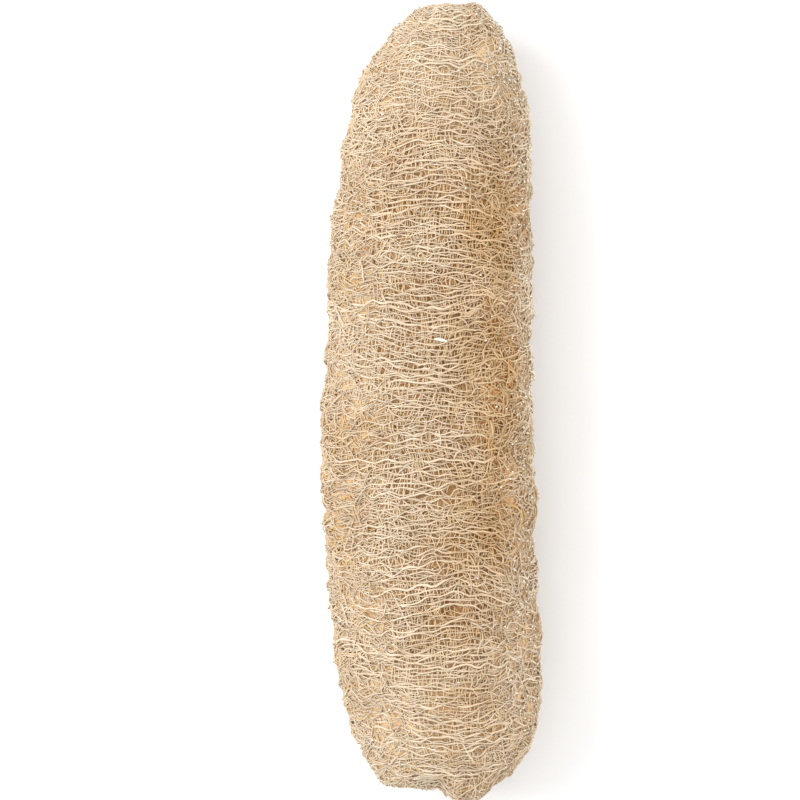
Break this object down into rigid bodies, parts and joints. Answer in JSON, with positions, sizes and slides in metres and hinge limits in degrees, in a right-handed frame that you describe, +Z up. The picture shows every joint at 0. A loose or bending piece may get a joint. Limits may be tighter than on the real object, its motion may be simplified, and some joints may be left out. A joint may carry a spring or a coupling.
{
  "type": "natural loofah sponge",
  "caption": "Whole natural loofah sponge, a long slightly bowed body of dried gourd fibre with blunt domed ends and a raised fibre net all over, lying on its side, for scrubbing.",
  "frame": {"origin": "centre of the sponge's footprint, on the surface that it lies on", "axes": "+Y along the length towards the stem end, +X across, +Z up from the surface that it lies on"},
  "size_m": [0.0772, 0.2758, 0.0675],
  "materials": {
    "loofah_fibre": "matte dried plant fibre, cream to tan with brown gaps"
  },
  "bodies": {
    "root": {"loofah_sponge": "loofah_fibre"}
  },
  "joints": []
}
